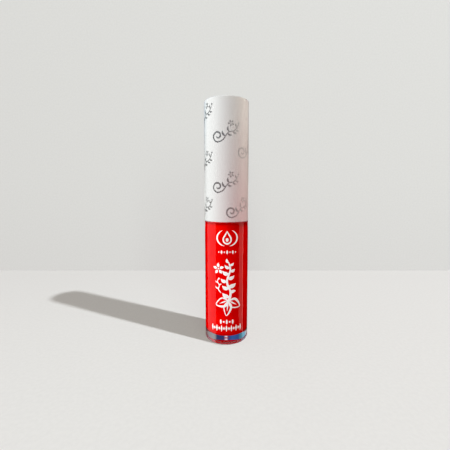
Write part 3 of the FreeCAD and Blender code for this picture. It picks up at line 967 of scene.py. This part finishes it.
def group(name, members):
    """A collection that a light can be kept to."""
    made = bpy.data.collections.new(name)
    for member in members:
        made.objects.link(member)
    return made


def only(*names):
    """The pieces with these names."""
    return [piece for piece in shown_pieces() if piece.name in names]


def all_but(name):
    """Every piece but the one with this name."""
    return [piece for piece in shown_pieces() if piece.name != name]


# What a light lights, and what casts shadows in it. The clear wall lets the tube's own lights
# through, and casts a full shadow on the floor.
open_group = group("open_group", all_but("clear_bottle"))
ON_STAGE = (group("stage_group", stage()), None)
ON_TUBE = (group("tube_group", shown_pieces()), open_group)
ON_PLAIN = (group("plain_group", all_but("foil_marks")), open_group)
ON_CAP = (group("cap_group", only("outer_cap", "foil_marks")), open_group)
ON_BOTTLE = (group("bottle_group", only("gloss_fill", "bottle_print")), open_group)


def area_light(name, where, size, power, colour, reflected=False, on=ON_TUBE):
    """A soft light that faces the tube's middle.

    Its place is an azimuth counted left from the camera, an elevation and a distance in metres,
    its size a width and a height. It shows in reflections only if it is reflected.
    """
    azimuth, elevation, distance = math.radians(where[0]), math.radians(where[1]), where[2]
    data = bpy.data.lights.new(name, "AREA")
    data.shape = "RECTANGLE"
    data.size, data.size_y = size
    data.energy = power
    data.color = colour
    lamp = bpy.data.objects.new(name, data)
    aim = Vector((0, 0, SEAM * MM))
    lamp.location = aim + distance * Vector((
        -math.sin(azimuth) * math.cos(elevation), -math.cos(azimuth) * math.cos(elevation),
        math.sin(elevation)))
    lamp.rotation_mode = "QUATERNION"
    lamp.rotation_quaternion = (aim - lamp.location).to_track_quat("-Z", "Y")
    lamp.visible_glossy = reflected
    lamp.visible_transmission = reflected
    lamp.visible_camera = False
    lamp.light_linking.receiver_collection, lamp.light_linking.blocker_collection = on
    bpy.context.scene.collection.objects.link(lamp)


COOL = (0.93, 1, 1)
CLEAN = (0.98, 1, 1)
area_light("softbox", (88, 0, 0.25), (0.30, 0.7), 0.328, COOL, reflected=True, on=ON_PLAIN)
area_light("left_fill", (60, 20, 0.5), (0.3, 0.3), 2.4, COOL, on=ON_PLAIN)
area_light("panel_right", (-82, 12, 0.25), (0.14, 0.5), 0.10, (1, 0.90, 0.81), reflected=True)
area_light("bottle_right", (-75, 5, 0.25), (0.1, 0.1), 0.06, (1, 0.9, 0.85), on=ON_BOTTLE)
area_light("right_fill", (-92, 42, 0.11), (0.03, 0.03), 0.040, (1, 0.94, 0.80))
area_light("upper_front", (-40, 47.7, 0.074), (0.03, 0.03), 0.0042, (0.55, 1, 0.85), on=ON_CAP)
area_light("back_soft", (180, 10, 0.09), (0.03, 0.06), 0.012, CLEAN)
area_light("top_soft", (0, 90, 0.6), (0.4, 0.4), 1.0, CLEAN)
area_light("pink_bounce", (-42, -25, 0.06), (0.02, 0.02), 0.006, (1, 0.05, 0.15), on=ON_CAP)
area_light("strip_right", (-95.6, 0, 0.24), (0.02, 0.5), 0.03, (1, 0.90, 0.86), reflected=True)
area_light("key", (-64, 43.3, 4.5), (0.125, 0.125), 155, (0.942, 0.97, 1), on=ON_STAGE)
area_light("stage_fill", (-10, 18, 2.4), (2.0, 2.0), 24.0, (0.84, 1, 0.82), on=ON_STAGE)


# ---------------------------------------------------------------- surroundings

BLACK, WHITE = (0.0, 0.0, 0.0), (1.0, 1.0, 1.0)
PALE = (0.72, 0.715, 0.68)
# colours of the room that reflections see, from its left side to its right
ROOM = [
    (0.0, (0.25, 0.27, 0.29)), (0.17, (0.16, 0.50, 0.68)), (0.22, (0.05, 0.22, 0.28)),
    (0.26, (0.03, 0.21, 0.30)), (0.285, (0.012, 0.08, 0.24)), (0.41, (0.015, 0.10, 0.32)),
    (0.475, (0.012, 0.04, 0.15)), (0.495, (0.80, 0.66, 0.74)), (0.52, (0.65, 0.50, 0.62)),
    (0.54, (0.012, 0.04, 0.14)), (0.665, (0.015, 0.05, 0.13)), (0.69, (0.22, 0.25, 0.27)),
    (0.73, (0.32, 0.33, 0.34)), (1.0, (0.20, 0.20, 0.20))]
# the room fades in over these heights, and the pale wall shows in this band and this far back
ROOM_FADE = (0.09, 0.27)
WALL_BAND = [(0.43, BLACK), (0.46, WHITE), (0.51, WHITE), (0.54, BLACK)]
WALL_FADE = (0.82, 0.92)
# soft light: pink from low down and from the right, pale from elsewhere
LIGHT_BY_HEIGHT = [(0.0, (0.32, 0.21, 0.21)), (0.5, (0.48, 0.465, 0.43)), (1.0, (0.50, 0.51, 0.49))]
LIGHT_BY_SIDE = [(0.4, WHITE), (0.75, (0.72, 0.42, 0.46)), (1.0, (0.80, 0.60, 0.60))]


def studio_world():
    """What surrounds the tube: one picture for its reflections, one for soft light, one behind."""
    world = bpy.data.worlds.new("studio")
    bpy.context.scene.world = world
    world.use_nodes = True
    tree = world.node_tree
    direction = node(tree, "SeparateXYZ")
    tree.links.new(node(tree, "TexCoord").outputs["Generated"], direction.inputs[0])
    x, y, z = (direction.outputs[axis] for axis in "XYZ")
    across, up = between(tree, x, -1.0, 1.0), between(tree, z, -1.0, 1.0)

    # reflections: a dark blue room with pale sides above, and the pale wall low behind the tube
    room = tinted(tree, ramp(tree, across, ROOM), between(tree, z, *ROOM_FADE, "SMOOTHSTEP"))
    band = tinted(tree, ramp(tree, up, WALL_BAND), between(tree, y, *WALL_FADE, "SMOOTHSTEP"))
    both = node(tree, "Mix", data_type="RGBA", blend_type="ADD")
    both.inputs[MIX_FACTOR].default_value = 1.0
    tree.links.new(room, both.inputs[MIX_A])
    tree.links.new(tinted(tree, band, (*PALE, 1)), both.inputs[MIX_B])
    reflections = tree.nodes["Background"]
    tree.links.new(both.outputs[MIX_RESULT], reflections.inputs["Color"])

    soft_light = node(tree, "Background")
    by_height, by_side = ramp(tree, up, LIGHT_BY_HEIGHT), ramp(tree, across, LIGHT_BY_SIDE)
    tree.links.new(tinted(tree, by_height, by_side), soft_light.inputs["Color"])
    behind = node(tree, "Background", Color=(*PALE, 1))

    path = node(tree, "LightPath")
    lit = choose(tree, path.outputs["Is Diffuse Ray"], reflections, soft_light)
    seen = choose(tree, path.outputs["Is Camera Ray"], lit, behind)
    tree.links.new(seen.outputs[0], tree.nodes["World Output"].inputs["Surface"])


studio_world()


# ---------------------------------------------------------------- camera

CAMERA_PLACE = (-0.6, -117.6, 61.4)     # mm
CAMERA_PITCH = 6.52                     # degrees down
CAMERA_LENS = 22.73
CAMERA_SENSOR = 36
CAMERA_NEAR = 0.005

camera_data = bpy.data.cameras.new("camera")
camera_data.lens = CAMERA_LENS
camera_data.sensor_width = CAMERA_SENSOR
camera_data.clip_start = CAMERA_NEAR
camera = bpy.data.objects.new("camera", camera_data)
camera.location = [c * MM for c in CAMERA_PLACE]
camera.rotation_euler = (math.radians(90 - CAMERA_PITCH), 0, 0)
bpy.context.scene.collection.objects.link(camera)
bpy.context.scene.camera = camera
bpy.context.scene.view_settings.view_transform = "Standard"
